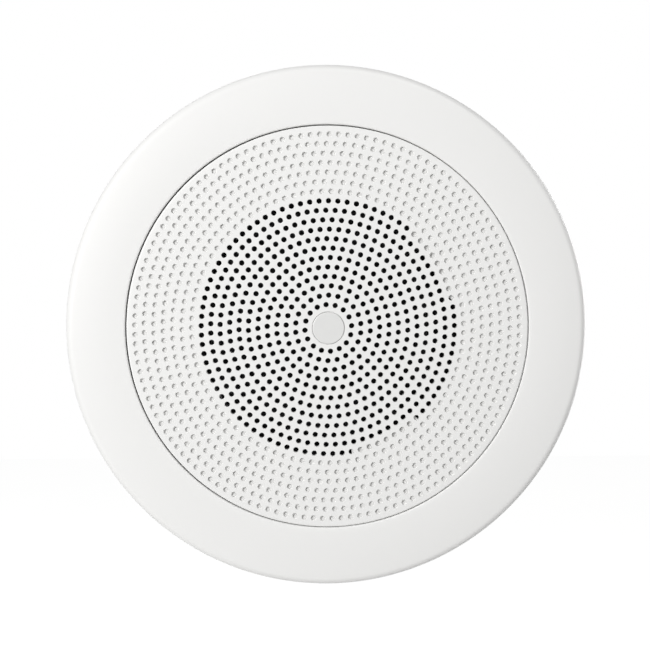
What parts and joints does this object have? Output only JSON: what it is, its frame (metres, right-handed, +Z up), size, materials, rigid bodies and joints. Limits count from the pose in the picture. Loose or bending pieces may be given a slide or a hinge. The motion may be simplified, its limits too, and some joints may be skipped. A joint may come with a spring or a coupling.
{
  "type": "recessed loudspeaker",
  "caption": "Round flush-mounted loudspeaker with a white moulded flange, snap-in perforated grille, cone driver, sprung panel clips and a push terminal.",
  "frame": {"origin": "centre of the flange's flat back face, where it lies on the wall or ceiling panel", "axes": "+Y into the cavity behind the panel, -Y towards the room, +Z up on a wall, +X to the viewer's right"},
  "size_m": [0.223, 0.0669, 0.223],
  "materials": {
    "white_plastic": "fine satin moulded",
    "badge_face": "satin",
    "foam": "closed-cell foam",
    "black_steel": "satin powder coat",
    "zinc_steel": "zinc plated",
    "ferrite": "sintered ceramic",
    "spider_cloth": "resin-dipped cotton",
    "surround_rubber": "matt",
    "cone_paper": "pressed paper",
    "cap_film": "satin",
    "former_film": "amber film",
    "copper": "lacquered wire",
    "tinsel": "braided tinsel",
    "black_plastic": "fine matt moulded",
    "red_plastic": "moulded",
    "button_plastic": "moulded",
    "brass_strip": "tinned brass",
    "spring_steel": "drawn wire",
    "pad_rubber": "matt"
  },
  "bodies": {
    "housing": {"frame": "white_plastic", "grille": "white_plastic", "badge": "badge_face", "gasket": "foam", "basket": "black_steel", "top_plate": "zinc_steel", "magnet": "ferrite", "back_yoke": "zinc_steel", "spider": "spider_cloth", "surround": "surround_rubber", "tinsel_lead_1": "tinsel", "tinsel_lead_2": "tinsel", "terminal_block": "black_plastic", "terminal_screws": "zinc_steel", "contact_1": "brass_strip", "contact_2": "brass_strip", "driver_screws": "zinc_steel", "rivets": "zinc_steel", "clip_pin_1": "zinc_steel", "clip_spring_1": "spring_steel", "clip_pin_2": "zinc_steel", "clip_spring_2": "spring_steel", "clip_pin_3": "zinc_steel", "clip_spring_3": "spring_steel"},
    "cone_unit": {"cone": "cone_paper", "dust_cap": "cap_film", "coil_former": "former_film", "voice_coil": "copper"},
    "clip_1": {"clip_arm_1": "zinc_steel", "clip_pad_1": "pad_rubber"},
    "clip_2": {"clip_arm_2": "zinc_steel", "clip_pad_2": "pad_rubber"},
    "clip_3": {"clip_arm_3": "zinc_steel", "clip_pad_3": "pad_rubber"},
    "red_button": {"button_red": "red_plastic"},
    "black_button": {"button_black": "button_plastic"}
  },
  "joints": [
    {"name": "cone_stroke", "type": "slide", "parent": "housing", "child": "cone_unit", "axis": [0, -1, 0], "range_m": [-0.003, 0.003], "stiffness_N_per_m": 1500, "deforming": ["surround", "spider", "tinsel_lead_1", "tinsel_lead_2"]},
    {"name": "clip_1_swing", "type": "hinge", "parent": "housing", "child": "clip_1", "pos_m": [0, 0.025, 0.091], "axis": [-1, 0, 0], "range_deg": [0, 145], "stiffness_Nm_per_rad": 0.05, "springref_deg": -68.75, "deforming": ["clip_spring_1"]},
    {"name": "clip_2_swing", "type": "hinge", "parent": "housing", "child": "clip_2", "pos_m": [-0.07881, 0.025, -0.0455], "axis": [0.5, 0, -0.866], "range_deg": [0, 145], "stiffness_Nm_per_rad": 0.05, "springref_deg": -68.75, "deforming": ["clip_spring_2"]},
    {"name": "clip_3_swing", "type": "hinge", "parent": "housing", "child": "clip_3", "pos_m": [0.07881, 0.025, -0.0455], "axis": [0.5, 0, 0.866], "range_deg": [0, 145], "stiffness_Nm_per_rad": 0.05, "springref_deg": -68.75, "deforming": ["clip_spring_3"]},
    {"name": "red_press", "type": "slide", "parent": "housing", "child": "red_button", "axis": [0, -1, 0], "range_m": [0, 0.0025], "stiffness_N_per_m": 400, "springref_m": -0.002},
    {"name": "black_press", "type": "slide", "parent": "housing", "child": "black_button", "axis": [0, -1, 0], "range_m": [0, 0.0025], "stiffness_N_per_m": 400, "springref_m": -0.002}
  ]
}
